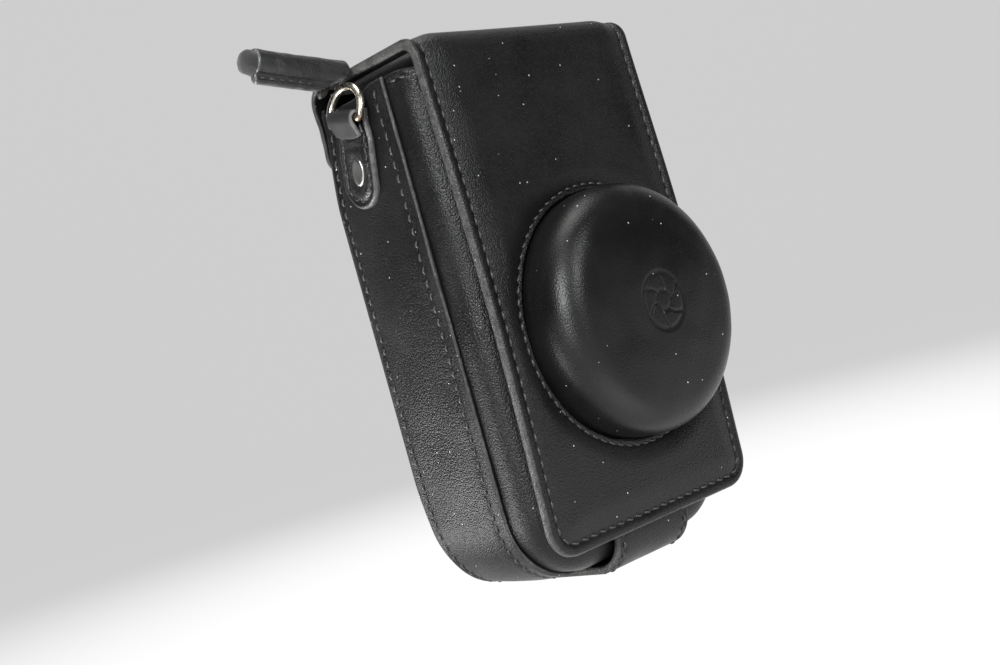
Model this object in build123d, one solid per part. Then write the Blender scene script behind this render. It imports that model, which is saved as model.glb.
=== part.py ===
"""Leather ever ready case for a compact camera, standing upright.

Front is -Y and up is +Z. The origin is on the surface that the case stands on,
under the middle of the pouch. Everything is in millimetres.
"""

from build123d import *
from math import atan2, cos, radians, sin, sqrt, tan
import os

os.makedirs("parts", exist_ok=True)

# ---- Driving dimensions -------------------------------------------------------
LEATHER = 1.1  # outer leather
LINING = 0.9  # lining leather
BOARD = 1.2  # stiffener between them

# Pouch
POUCH_W = 68.0
POUCH_FRONT, POUCH_BACK = -15.5, 20.5  # faces of the front and back panels
BASE_Z = 2.0  # the pouch stands on the closure strap
RIM_Z = 120.3
BOTTOM_R = 17.5  # rounded bottom corners
FRONT_EDGE_R, BACK_EDGE_R = 6.5, 3.0
BACK_SEAM_Y, LAP_SEAM_Y = 16.5, -6.5  # where the side strip starts and ends
LAP = 4.0  # the front panel reaches this far under the side strip
PAD_TOP_Z = 7.6

# Flap
FLAP_W, FLAP_TOP_Z, FLAP_LOW_Z = 68.8, 127.0, 8.8
FLAP_FRONT = -20.5
FOLD_R, FLAP_CORNER_R = 5.0, 7.0
HINGE_R = 2.2  # round rear bead of the flap, about the hinge line
HINGE_Y, HINGE_Z = POUCH_BACK - HINGE_R, FLAP_TOP_Z - HINGE_R
HINGE_GAP = 0.3
BORDER = 4.0  # width of the turned-in edge
LINING_INSET = 2.5  # the flap's lining stops this far inside its edge
HEM_CLEAR = 0.3  # around the dome where it comes through the flap
BOARD_SPLIT = 12.0  # the flap's boards stop this far above and below the dome's centre

# Lens dome and the lens cut-out behind it
DOME_X, DOME_Z = 3.3, 57.25
DOME_R, DOME_H = 29.2, 15.9
SHOULDER_R, CROWN_R = 8.0, 170.0
DOME_FLANGE_R = 32.4
LENS_CUT_R = 25.0

# Closure strap and tongue
TONGUE_W, TONGUE_T = 25.0, 2.0
TONGUE_Y, TONGUE_TOP_Z = -18.1, 24.0  # outer face and upper end
TONGUE_BEND_R = 9.0
STRAP_BACK_Y = 12.0
MAGNET_R, MAGNET_Z = 4.5, 17.5

# Strap rings on both sides
RING_Y, RING_Z = 5.2, 116.0  # axis of the ring's straight bar
WIRE_R, RING_HALF_W, RING_H = 0.9, 5.5, 7.5  # to the wire's centre line
RING_LEAN, RING_TILT = -17.0, 13.0  # degrees outward from upright, and forward with its tab
LOOP_W, LOOP_R, LOOP_BORE_R = 8.8, 2.05, 1.0
TAB_W, TAB_T, TAB_LOW_Z, TAB_TOP_Z = 11.6, 1.6, 95.2, 118.5  # before the tilt

# Rolled pull at the flap's left edge
PULL_Y, PULL_TILT = 4.7, 8.5
PULL_ROOT_X, PULL_AXIS_Z, PULL_LEN = -34.9, 127.0, 24.0
PULL_R, PULL_CORE_R, PULL_STICKOUT = 2.9, 2.4, 2.9
FLANGE_T, FLANGE_DROP, FLANGE_START = 1.8, 5.9, 4.0

# Belt loop on the back
BELT_W, BELT_T, BELT_GAP = 36.0, 1.8, 4.6
BELT_LOW_Z, BELT_HIGH_Z, BELT_END = 44.0, 102.0, 9.0


# ---- Helpers ------------------------------------------------------------------
def save(name, shape):
    """Write one sub-part to its own STEP file."""
    export_step(shape, f"parts/{name}.step")


def slab(sketch, y_from, y_to):
    """Extrude a front-view sketch between two Y positions."""
    back, front = max(y_from, y_to), min(y_from, y_to)
    return extrude(Plane.XZ.offset(-back) * sketch, back - front)


def side_bar(sketch, half_w):
    """Extrude a side-view (Y, Z) sketch to both sides of the middle."""
    return extrude(Plane.YZ.offset(-half_w) * sketch, 2 * half_w)


def rounded(width, low, high, radius):
    """Front-view rectangle about X = 0 with both bottom corners rounded."""
    sketch = Pos(0, (low + high) / 2) * Rectangle(width, high - low)
    return fillet(sketch.vertices().group_by(Axis.Y)[0], radius)


def pouch_outline(inset, top):
    """The pouch seen from the front, drawn in by an inset."""
    return rounded(POUCH_W - 2 * inset, BASE_Z + inset, top, BOTTOM_R - inset)


def pouch_block(inset, face_y, open_y, edge_r, top):
    """A solid pouch with the rim of one face rounded, except along its top."""
    block = slab(pouch_outline(inset, top), face_y, open_y)
    face = block.faces().sort_by(Axis.Y)[0 if face_y < open_y else -1]
    return fillet(face.edges().sort_by(Axis.Z)[:-1], edge_r)


def dish(inset, face_y, open_y, edge_r, wall, top=RIM_Z):
    """A panel with its edges turned round the sides and bottom, open above."""
    step = wall if face_y < open_y else -wall
    hollow = pouch_block(inset + wall, face_y + step, open_y + 10 * step, edge_r - wall, top + 9)
    return pouch_block(inset, face_y, open_y, edge_r, top) - hollow


def side_strip(inset, wall, y_from, y_to):
    """A strip that runs down one side, under the bottom and up the other side."""
    hollow = slab(pouch_outline(inset + wall, RIM_Z + 9), y_from + 1, y_to - 1)
    return slab(pouch_outline(inset, RIM_Z), y_from, y_to) - hollow


def corner_profile(left, low, right, high, radius, corner):
    """Side-view rectangle with one corner of its left side rounded."""
    sketch = Pos((left + right) / 2, (low + high) / 2) * Rectangle(right - left, high - low)
    row = sketch.vertices().group_by(Axis.Y)[corner]
    return fillet(row.sort_by(Axis.X)[0], radius)


def flap_sheet(depth, wall, inset, rear_y, corner_r):
    """Top and front of the flap as one folded sheet, depth below its outside."""
    inner = depth + wall
    profile = corner_profile(
        FLAP_FRONT + depth, FLAP_LOW_Z + inset, rear_y, FLAP_TOP_Z - depth, FOLD_R - depth, -1
    ) - corner_profile(
        FLAP_FRONT + inner, 0, rear_y + 9, FLAP_TOP_Z - inner, FOLD_R - inner, -1
    )
    sheet = side_bar(profile, FLAP_W / 2 - inset)
    low_edges = sheet.edges().filter_by(Axis.Y).group_by(Axis.Z)[0]
    return fillet(low_edges, corner_r)


def dome_block(depth, base_y):
    """The dome filled solid, depth below its outside, down to a base plane."""
    radius, top = DOME_R - depth, FLAP_FRONT - DOME_H + depth
    shoulder, crown = SHOULDER_R - depth, CROWN_R - depth
    centre_r = DOME_R - SHOULDER_R
    rise = sqrt((CROWN_R - SHOULDER_R) ** 2 - centre_r**2)
    centre_y = FLAP_FRONT - DOME_H + CROWN_R - rise
    lean = centre_r / (CROWN_R - SHOULDER_R)  # sine of the angle where both arcs meet
    upright = sqrt(1 - lean**2)
    meet = (centre_r + shoulder * lean, centre_y - shoulder * upright)
    half = sqrt(0.5)
    outline = Line((0, base_y), (0, top)) + ThreePointArc(
        (0, top),
        (crown * sin(0.5 * lean), FLAP_FRONT - DOME_H + CROWN_R - crown * cos(0.5 * lean)),
        meet,
    )
    outline += ThreePointArc(
        meet, (centre_r + shoulder * half, centre_y - shoulder * half), (radius, centre_y)
    )
    outline += Line((radius, centre_y), (radius, base_y)) + Line((radius, base_y), (0, base_y))
    return Pos(DOME_X, 0, DOME_Z) * revolve(make_face(outline), Axis.Y)


def dome_shell(depth, wall, base_y):
    """One layer of the dome."""
    return dome_block(depth, base_y) - dome_block(depth + wall, base_y + 9)


def dome_bore(radius):
    """A long cylinder on the dome's axis, to cut panels with."""
    return Pos(DOME_X, 0, DOME_Z) * Rot(90, 0, 0) * Cylinder(radius, 80)


def disc(radius, x, z, y_from, y_to):
    """A flat disc that faces the front."""
    return slab(Pos(x, z) * Circle(radius), y_from, y_to)


# ---- Pouch --------------------------------------------------------------------
def make_pouch():
    """Back, side strip, front panel, their boards and linings, and the base pad."""
    wall = 2 * LEATHER  # outer leather plus the layer under it
    hinge_top = HINGE_Z - HINGE_R - HINGE_GAP
    lap_y = LAP_SEAM_Y + LAP
    back_board_y = POUCH_BACK - LEATHER
    back_lining_y = back_board_y - BOARD
    back_inside = back_lining_y - LINING

    save("back_cover", dish(0, POUCH_BACK, BACK_SEAM_Y, BACK_EDGE_R, LEATHER, hinge_top))
    board_face = pouch_outline(BACK_EDGE_R, hinge_top - 1)
    save("back_board", slab(board_face, back_board_y, back_lining_y))
    lining_face = pouch_outline(wall + LINING, RIM_Z)
    save("back_lining", slab(lining_face, back_lining_y, back_inside))

    save("gusset_cover", side_strip(0, LEATHER, BACK_SEAM_Y, LAP_SEAM_Y))
    save("gusset_stiffener", side_strip(LEATHER, LEATHER, back_inside, lap_y))
    save("gusset_lining", side_strip(wall, LINING, back_inside, lap_y))

    front_cover = dish(LEATHER, POUCH_FRONT, lap_y, FRONT_EDGE_R, LEATHER)
    save("front_cover", front_cover - lens_cut(LENS_CUT_R))
    board_y = POUCH_FRONT + LEATHER
    front_board = slab(pouch_outline(LEATHER + FRONT_EDGE_R, RIM_Z - 2), board_y, board_y + LEATHER)
    save("front_board", front_board - lens_cut(LENS_CUT_R + 1.5))
    lining_edge_r = FRONT_EDGE_R - wall
    front_lining = dish(wall, board_y + LEATHER, lap_y, lining_edge_r, LINING)
    save("front_lining", front_lining - lens_cut(LENS_CUT_R))

    pad = slab(pouch_outline(wall + LINING, RIM_Z), back_inside, POUCH_FRONT + FRONT_EDGE_R)
    save("bottom_pad", split(pad, Plane.XY.offset(PAD_TOP_Z), keep=Keep.BOTTOM))


def lens_cut(radius):
    """A U-shaped cutter, open at the top, that lets the lens through the front."""
    slot = Circle(radius) + Pos(0, RIM_Z / 2) * Rectangle(2 * radius, RIM_Z)
    return slab(Pos(DOME_X, DOME_Z) * slot, POUCH_FRONT - 2, POUCH_FRONT + FRONT_EDGE_R + 4)


# ---- Flap with its lens dome --------------------------------------------------
def make_flap():
    """Folded outer leather, turned-in edge, boards, lining and closure magnet."""
    board_y = FLAP_FRONT + LEATHER
    lining_depth = LEATHER + BOARD

    cover = flap_sheet(0, LEATHER, 0, HINGE_Y, FLAP_CORNER_R)
    bead = side_bar(Pos(HINGE_Y, HINGE_Z) * Circle(HINGE_R), FLAP_W / 2)
    save("flap_cover", cover + bead - dome_bore(DOME_R + HEM_CLEAR))

    edge = rounded(FLAP_W, FLAP_LOW_Z, FLAP_TOP_Z - FOLD_R, FLAP_CORNER_R)
    inside = rounded(FLAP_W - 2 * BORDER, FLAP_LOW_Z + BORDER, FLAP_TOP_Z, FLAP_CORNER_R - BORDER)
    hem = slab(edge - inside, board_y, board_y + BOARD)
    save("flap_hem", hem - dome_bore(DOME_R + HEM_CLEAR))

    board = slab(inside, board_y, board_y + BOARD) - dome_bore(DOME_FLANGE_R + 0.05)
    board_top_z = FLAP_TOP_Z - FOLD_R - 0.5
    upper_low_z, lower_top_z = DOME_Z + BOARD_SPLIT, DOME_Z - BOARD_SPLIT
    upper_box = Pos(0, board_y, (board_top_z + upper_low_z) / 2) * Box(
        FLAP_W, 9, board_top_z - upper_low_z
    )
    lower_box = Pos(0, board_y, lower_top_z / 2) * Box(FLAP_W, 9, lower_top_z)
    magnet = disc(MAGNET_R, 0, MAGNET_Z, board_y, board_y + BOARD)
    save("flap_upper_board", board & upper_box)
    save("flap_lower_board", (board & lower_box) - magnet)
    save("flap_magnet", magnet)

    top_front, top_rear = FLAP_FRONT + FOLD_R + 1, HINGE_Y - HINGE_R - 1
    top_board = Pos(0, (top_front + top_rear) / 2, FLAP_TOP_Z - LEATHER - BOARD / 2)
    save("flap_top_board", top_board * Box(FLAP_W - 2 * BORDER, top_rear - top_front, BOARD))

    lining = flap_sheet(
        lining_depth, LINING, LINING_INSET, top_rear, FLAP_CORNER_R - LINING_INSET
    )
    notch = Pos(0, FLAP_FRONT, 0) * Box(TONGUE_W + 3, 30, 2 * (TONGUE_TOP_Z + 2))
    lining_bore = dome_bore(DOME_R - LEATHER - BOARD)
    save("flap_lining", lining - notch - lining_bore)


def make_dome():
    """Leather cap, moulded former and lining of the lens dome."""
    board_y = FLAP_FRONT + LEATHER
    flange_y = board_y + BOARD
    ring = Circle(DOME_FLANGE_R) - Circle(DOME_R - LEATHER)
    flange = slab(Pos(DOME_X, DOME_Z) * ring, board_y, flange_y)
    inside_hem = Pos(0, FLAP_FRONT, DOME_Z) * Box(FLAP_W - 2 * BORDER - 0.1, 20, 90)
    save("dome_cover", dome_shell(0, LEATHER, flange_y) + (flange & inside_hem))
    save("dome_former", dome_shell(LEATHER, BOARD, flange_y))
    save("dome_lining", dome_shell(LEATHER + BOARD, 0.8, flange_y + LINING))


# ---- Closure ------------------------------------------------------------------
def tongue_layer(depth, wall):
    """One leather layer of the tongue, curving up from under the pouch."""
    inner, rear_y = depth + wall, TONGUE_Y + TONGUE_BEND_R
    profile = corner_profile(
        TONGUE_Y + depth, depth, rear_y + 1, TONGUE_TOP_Z, TONGUE_BEND_R - depth, 0
    ) - corner_profile(
        TONGUE_Y + inner, inner, rear_y + 9, TONGUE_TOP_Z + 9, TONGUE_BEND_R - inner, 0
    )
    layer = split(side_bar(profile, TONGUE_W / 2), Plane.XZ.offset(-rear_y), keep=Keep.TOP)
    return fillet(layer.edges().filter_by(Axis.Y).group_by(Axis.Z)[-1], 6)


def make_closure():
    """Strap sewn under the pouch and the tongue that turns up behind the flap."""
    bend_y = TONGUE_Y + TONGUE_BEND_R
    half_t = TONGUE_T / 2
    strap_front = bend_y + half_t + HINGE_GAP
    strap = Pos(0, (strap_front + STRAP_BACK_Y) / 2, half_t) * Box(
        TONGUE_W, STRAP_BACK_Y - strap_front, TONGUE_T
    )
    rear_corners = strap.edges().filter_by(Axis.Z).group_by(Axis.Y)[-1]
    save("closure_strap", fillet(rear_corners, 5))

    magnet_y = TONGUE_Y + LEATHER - 0.4
    magnet = disc(MAGNET_R, 0, MAGNET_Z, magnet_y, magnet_y + 0.8)
    bead = side_bar(Pos(bend_y, half_t) * Circle(half_t), TONGUE_W / 2)
    save("tongue_outer", tongue_layer(0, LEATHER) + bead - magnet)
    save("tongue_lining", tongue_layer(LEATHER, LINING) - bead - magnet)
    save("tongue_magnet", magnet)


# ---- Strap rings --------------------------------------------------------------
def ring_wire():
    """D-shaped wire ring standing on the Y axis, its bar along Y."""
    corner = 1.0
    arch_z = RING_H - RING_HALF_W
    path = FilletPolyline(
        (-RING_HALF_W, arch_z), (-RING_HALF_W, 0), (RING_HALF_W, 0), (RING_HALF_W, arch_z),
        radius=corner,
    ) + ThreePointArc((RING_HALF_W, arch_z), (0, RING_H), (-RING_HALF_W, arch_z))
    path = Plane.YZ * path
    bar = Plane((0, 0, 0), z_dir=(0, 1, 0))
    return sweep(bar * Circle(WIRE_R), path=path)


def make_ring_side(side, sign):
    """Stitched tab, folded loop, rivet and ring for one side of the pouch."""
    wall_x = POUCH_W / 2
    tab_x = wall_x + TAB_T
    axis_x = tab_x + LOOP_R
    tab_sketch = rounded(TAB_W, TAB_LOW_Z, TAB_TOP_Z, TAB_W / 2 - 0.05)
    tab = Plane((wall_x, RING_Y, 0), x_dir=(0, 1, 0), z_dir=(1, 0, 0)) * tab_sketch
    tab = extrude(tab, TAB_T)

    leaf_low = RING_Z - 4.4
    leaf = make_face(Polyline(
        (tab_x, leaf_low), (tab_x + 1.0, leaf_low), (axis_x + LOOP_R * cos(radians(12)),
        RING_Z - LOOP_R * sin(radians(12))), (axis_x, RING_Z + 0.2), (tab_x, RING_Z), close=True,
    ))
    fold = leaf + Pos(axis_x, RING_Z) * Circle(LOOP_R) - Pos(axis_x, RING_Z) * Circle(LOOP_BORE_R)
    loop = slab(fold, RING_Y - LOOP_W / 2, RING_Y + LOOP_W / 2)

    oval = Plane((tab_x, RING_Y, RING_Z - 12.3), x_dir=(0, 0, 1), z_dir=(1, 0, 0))
    oval = oval * SlotOverall(6.4, 4)
    rivet = extrude(oval, 0.8)
    rivet = fillet(rivet.faces().sort_by(Axis.X)[-1].edges(), 0.4)

    ring = Pos(axis_x, RING_Y, RING_Z) * Rot(0, RING_LEAN, 0) * ring_wire()

    pieces = {"ring_tab": tab, "ring_loop": loop, "ring_rivet": rivet, "strap_ring": ring}
    forward = Pos(0, RING_Y, RING_Z) * Rot(RING_TILT, 0, 0) * Pos(0, -RING_Y, -RING_Z)
    for name, shape in pieces.items():
        shape = forward * shape
        save(f"{side}_{name}", shape if sign > 0 else mirror(shape, about=Plane.YZ))


# ---- Rolled pull --------------------------------------------------------------
def make_pull():
    """Anchor sewn into the flap's left edge, and the tongue and rolled grip outside it."""
    high, low = FLAP_TOP_Z - LEATHER, FLAP_TOP_Z - LEATHER - BOARD
    inner_x, edge_x, turn_x, end_x = -FLAP_W / 2 + BORDER, -FLAP_W / 2, -38.5, -42.0
    front_y, rear_y = PULL_Y + PULL_R + 0.1, 12.2

    def strip(x_from, x_to, y_from, z_from, z_to):
        middle = Pos((x_from + x_to) / 2, (y_from + rear_y) / 2, (z_from + z_to) / 2)
        return middle * Box(x_to - x_from, rear_y - y_from, z_to - z_from)

    save("pull_anchor", strip(edge_x, inner_x, front_y, low, high))
    flat = strip(turn_x, edge_x - 0.15, front_y, low, high)
    step = strip(turn_x - 1.2, turn_x, front_y, low - 1.3, high)
    held = strip(end_x, turn_x, PULL_Y + FLANGE_T / 2, low - 1.3, low - 0.1)
    save("pull_tongue", flat + step + held)

    # The grip is drawn along -X from its root, then tilted up about the root.
    grip = Pos(PULL_ROOT_X, PULL_Y, PULL_AXIS_Z) * Rot(0, PULL_TILT, 0)
    along = Rot(0, -90, 0)
    roll = along * Cylinder(PULL_R, PULL_LEN, align=(Align.CENTER, Align.CENTER, Align.MIN))
    fin = Pos(-(PULL_LEN + FLANGE_START) / 2, 0, -FLANGE_DROP / 2)
    fin = fin * Box(PULL_LEN - FLANGE_START, FLANGE_T, FLANGE_DROP)
    core_len = PULL_LEN + PULL_STICKOUT
    core = along * Cylinder(PULL_CORE_R, core_len, align=(Align.CENTER, Align.CENTER, Align.MIN))
    core_end = core.faces().sort_by(Axis.X)[0].edges()
    save("pull_sleeve", grip * (roll + fin - core))
    save("pull_core", grip * fillet(core_end, PULL_CORE_R * 0.7))


# ---- Belt loop ----------------------------------------------------------------
def make_belt_loop():
    """Leather strap on the back, sewn down at both ends and proud between them."""
    ramp = 1.8 * BELT_GAP
    shift = BELT_T * tan(atan2(BELT_GAP, ramp) / 2)  # mitre of each bend
    near, far, middle = POUCH_BACK, POUCH_BACK + BELT_GAP, (BELT_LOW_Z + BELT_HIGH_Z) / 2
    foot, crest = BELT_LOW_Z + BELT_END, BELT_LOW_Z + BELT_END + ramp
    half = make_face(Polyline(
        (near, BELT_LOW_Z), (near, foot), (far, crest), (far, middle), (far + BELT_T, middle),
        (far + BELT_T, crest - shift), (near + BELT_T, foot - shift), (near + BELT_T, BELT_LOW_Z),
        close=True,
    ))
    whole = half + Pos(0, 2 * middle) * mirror(half, about=Plane.XZ)
    save("belt_loop", side_bar(whole, BELT_W / 2))


make_pouch()
make_flap()
make_dome()
make_closure()
make_ring_side("left", -1)
make_ring_side("right", 1)
make_pull()
make_belt_loop()
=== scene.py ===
"""Looks of the leather ever ready case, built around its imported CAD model.

Shapes are worked out in millimetres and become metres when a mesh is made.
A leather panel is drawn flat, in (u, v), with w as the height above its outer
face, and a place function then lays it on its path in space.
"""

from math import atan2, cos, hypot, pi, radians, sin

import bmesh
import bpy
import numpy as np
from mathutils import Matrix, Vector
from mathutils.geometry import delaunay_2d_cdt


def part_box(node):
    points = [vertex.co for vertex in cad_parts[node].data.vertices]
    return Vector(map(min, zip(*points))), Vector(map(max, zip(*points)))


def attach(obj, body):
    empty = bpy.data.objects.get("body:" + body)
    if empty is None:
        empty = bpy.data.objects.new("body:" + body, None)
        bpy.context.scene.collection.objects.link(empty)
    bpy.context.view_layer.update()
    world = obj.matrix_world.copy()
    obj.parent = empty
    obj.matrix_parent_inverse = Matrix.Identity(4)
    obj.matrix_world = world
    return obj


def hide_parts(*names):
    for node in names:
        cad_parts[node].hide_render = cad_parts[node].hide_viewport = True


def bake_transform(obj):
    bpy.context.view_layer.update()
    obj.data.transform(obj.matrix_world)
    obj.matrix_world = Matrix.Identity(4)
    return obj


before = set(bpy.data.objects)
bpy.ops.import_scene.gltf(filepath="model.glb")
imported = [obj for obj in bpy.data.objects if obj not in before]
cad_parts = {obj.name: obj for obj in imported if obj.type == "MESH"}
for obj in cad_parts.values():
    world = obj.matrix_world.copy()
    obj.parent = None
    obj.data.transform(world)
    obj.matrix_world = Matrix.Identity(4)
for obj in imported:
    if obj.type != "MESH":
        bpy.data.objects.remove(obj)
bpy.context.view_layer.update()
MM = 0.001
stack = np.column_stack


def box_mm(node):
    """Lowest and highest corner of a CAD node, in millimetres."""
    low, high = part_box(node)
    return np.array(low) / MM, np.array(high) / MM


# ---- Places taken from the frame ----------------------------------------------
flap_low, flap_high = box_mm("flap_cover")
gusset_low, gusset_high = box_mm("gusset_cover")
front_low = box_mm("front_cover")[0]
back_high = box_mm("back_cover")[1]
dome_low = box_mm("dome_cover")[0]
former_low, former_high = box_mm("dome_former")
tongue_low, tongue_high = box_mm("tongue_outer")
strap_high = box_mm("closure_strap")[1]
belt_low, belt_high = box_mm("belt_loop")

# ---- Details of the leatherwork, in millimetres -------------------------------
LEATHER = 1.1
PITCH, THREAD_R = 3.0, 0.34
BOTTOM_R = 17.5  # the pouch's rounded bottom corners
FOLD_R, FLAP_CORNER_R, FLAP_THICK = 5.0, 7.0, 2.35
FLAP_STITCH, PAD_RISE = 2.7, 0.85
HOLE_R, RING_STITCH = 29.5, 1.2  # dome hole in the flap, and its stitches' distance
DOME_R, SHOULDER_R, CROWN_R = 29.2, 8.0, 170.0
LENS_R = 25.0
FRONT_EDGE_R, BACK_EDGE_R = 6.5, 2.0
JOIN_Y = 10.0  # the flap's leather continues in the hinge piece here
HINGE_Z, HINGE_BEND_R = 124.8, 4.6
TONGUE_BEND_R = 9.0
BOW = 1.7  # how far the flap's middle stands forward
RING_Y, RING_Z, RING_TILT = 5.2, 116.0, radians(13)  # the ring's bar, and its tab's lean

dome_x = (former_low[0] + former_high[0]) / 2
dome_z = (former_low[2] + former_high[2]) / 2
rim_z = gusset_high[2]
base_z = gusset_low[2]
half_pouch = gusset_high[0]
half_flap = flap_high[0]
flap_run = flap_high[2] - FOLD_R - flap_low[2]  # straight length of the flap's front
fold_run = FOLD_R * pi / 2


# ---- Small maths --------------------------------------------------------------
def smooth(t):
    """Smooth step from 0 to 1."""
    t = np.clip(t, 0, 1)
    return t * t * (3 - 2 * t)


def bell(t):
    return np.exp(-t * t)


def ripple(points, wavelength, seed, count=9):
    """Gentle, seeded unevenness between about -1 and 1."""
    rng = np.random.default_rng(seed)
    total = np.zeros(len(points))
    for _ in range(count):
        direction = rng.normal(size=points.shape[1])
        direction /= np.linalg.norm(direction)
        length = wavelength * rng.uniform(0.6, 1.6)
        total += np.sin(points @ direction * 2 * pi / length + rng.uniform(0, 2 * pi))
    return total / count**0.5 / 1.4


def apart(du, dv):
    """Distance from a corner, negative inside it, given the distances past its two sides."""
    return np.hypot(np.maximum(du, 0), np.maximum(dv, 0)) + np.minimum(np.maximum(du, dv), 0)


def waves(u, v, wavelength, seed):
    return ripple(stack([u, v]), wavelength, seed)


def arc(centre, radius, start, end, count):
    """Points of an arc between two angles in degrees."""
    angles = np.radians(np.linspace(start, end, count))
    return stack([centre[0] + radius * np.cos(angles), centre[1] + radius * np.sin(angles)])


def line(start, end, count):
    return np.linspace(start, end, count)


def resample(points, step, closed=False):
    """The same line with points about a step apart."""
    if closed:
        points = np.vstack([points, points[:1]])
    lengths = np.r_[0, np.cumsum(np.linalg.norm(np.diff(points, axis=0), axis=1))]
    count = max(2, int(round(lengths[-1] / step)) + 1)
    at = np.linspace(0, lengths[-1], count)
    result = stack([np.interp(at, lengths, points[:, k]) for k in range(points.shape[1])])
    return result[:-1] if closed else result


def u_shape(half, low, radius, end, side, turn, across):
    """U-shaped line from its left end round both low corners, with points per part."""
    return np.vstack([
        line((-half, end), (-half, low + radius), side),
        arc((-half + radius, low + radius), radius, 180, 270, turn)[1:],
        line((-half + radius, low), (half - radius, low), across)[1:],
        arc((half - radius, low + radius), radius, 270, 360, turn)[1:],
        line((half, low + radius), (half, end), side)[1:],
    ])


def strap_shape(half, total, radius, turn, step):
    """Edge distance and inset outlines of a straight strap with round corners."""
    def edge(u, v):
        du, dv = np.abs(u) - (half - radius), np.abs(v - total / 2) - (total / 2 - radius)
        return radius - apart(du, dv)

    def outline(inset):
        r, h, low, high = max(radius - inset, 0.05), half - inset, inset, total - inset
        corners = [((h - r, low + r), 270), ((h - r, high - r), 0),
                   ((-h + r, high - r), 90), ((-h + r, low + r), 180)]
        loop = np.vstack([arc(c, r, a, a + 90, turn) for c, a in corners])
        return resample(loop, step, closed=True)

    return edge, outline


def bulged(points):
    """The pouch's back half, filled out by what it holds and drawn in at the top."""
    x, y, z = points.T
    deep = -0.5 + 2.2 * smooth((119 - z) / 24) - 2.2 * smooth((32 - z) / 26)
    wide = 0.55 * smooth((119 - z) / 22) * smooth((z - 10) / 22)
    side = smooth((np.abs(x) - 20) / 14)
    lift = (1.4 + 0.25 * np.sin(x * 0.9)) * smooth((6 - y) / 9) * smooth((z - 96) / 22)
    return stack([x + np.sign(x) * wide * side * smooth((y - 1) / 14),
                  y + deep * smooth((y - 7) / 11), z + lift])


# ---- Making objects -----------------------------------------------------------
def make(name, verts, faces, material, body=None, wear=None):
    """A mesh object from points in millimetres."""
    mesh = bpy.data.meshes.new(name)
    mesh.from_pydata([tuple(p) for p in np.asarray(verts) * MM], [], faces)
    tidy = bmesh.new()
    tidy.from_mesh(mesh)
    bmesh.ops.recalc_face_normals(tidy, faces=tidy.faces)
    tidy.to_mesh(mesh)
    tidy.free()
    for polygon in mesh.polygons:
        polygon.use_smooth = True
    rest = mesh.attributes.new("rest", "FLOAT_VECTOR", "POINT")
    rest.data.foreach_set("vector", np.asarray(verts, np.float32).ravel() * MM)
    worn = mesh.attributes.new("wear", "FLOAT", "POINT")
    values = np.zeros(len(verts)) if wear is None else wear
    worn.data.foreach_set("value", np.asarray(values, np.float32))
    mesh.materials.append(material)
    piece = bpy.data.objects.new(name, mesh)
    bpy.context.scene.collection.objects.link(piece)
    if body:
        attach(piece, body)
    return piece


def grid(rows, columns, first=0, closed=True):
    """Quads between neighbouring rows of points."""
    return [
        (first + r * columns + c, first + r * columns + (c + 1) % columns,
         first + (r + 1) * columns + (c + 1) % columns, first + (r + 1) * columns + c)
        for r in range(rows - 1) for c in range(columns if closed else columns - 1)
    ]


def fill_points(low, high, step):
    """Staggered rows of points over a rectangle."""
    rows = np.arange(low[1] + step / 2, high[1], step * 0.87)
    return np.vstack([
        stack([us, np.full(len(us), v)])
        for k, v in enumerate(rows)
        for us in [np.arange(low[0] + (k % 2) * step / 2, high[0], step)]
    ])


def clear_of(points, kept, gap):
    """Those points that are at least a gap from every kept one."""
    free = np.ones(len(points), bool)
    for start in range(0, len(points), 400):
        block = points[start:start + 400]
        near = ((block[:, None] - kept[None]) ** 2).sum(2).min(1)
        free[start:start + 400] = near > gap * gap
    return points[free]


def panel(name, boundary, holes, rings, step, margin, edge, height, place, thick, edge_r,
          material, body=None):
    """A closed sheet of leather with rounded edges.

    boundary, holes and rings are lists of flat points, margin is how far the filling
    points stay from the edge, edge(u, v) is the distance to the edge, height(u, v) the
    rise of the face, and place(u, v, w) puts a point in space.
    """
    loops = [boundary, *holes]
    kept = np.vstack(loops)
    for ring in rings:
        kept = np.vstack([kept, clear_of(ring, kept, 0.22)])
    fill = fill_points(boundary.min(0), boundary.max(0), step)
    fill = fill[edge(fill[:, 0], fill[:, 1]) > margin]
    kept = np.vstack([kept, clear_of(fill, kept, 0.6 * step)])
    links, first = [], 0
    for loop in loops:
        count = len(loop)
        links += [(first + k, first + (k + 1) % count) for k in range(count)]
        first += count
    flat, _, triangles, origin, _, _ = delaunay_2d_cdt(
        [Vector(p) for p in kept], links, [], 1, 1e-6
    )
    flat = np.array(flat)
    middle = flat[np.array(triangles)].mean(1)
    triangles = [
        tuple(t) for t, inside in zip(triangles, edge(middle[:, 0], middle[:, 1]) > -0.02) if inside
    ]
    where = {source: k for k, sources in enumerate(origin) for source in sources}
    u, v = flat[:, 0], flat[:, 1]
    depth = np.clip(edge(u, v), 0, None)
    rounding = edge_r - np.sqrt(edge_r**2 - (edge_r - np.minimum(depth, edge_r)) ** 2)
    front = place(u, v, height(u, v) - rounding)
    back = place(u, v, rounding - thick)
    count, faces = len(flat), list(triangles)
    faces += [tuple(count + k for k in reversed(t)) for t in triangles]
    for a, b in links:
        a, b = where[a], where[b]
        faces.append((a, b, count + b, count + a))
    wear = bell(depth / 0.55)
    return make(name, np.vstack([front, back]), faces, material, body, np.r_[wear, wear])


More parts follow.
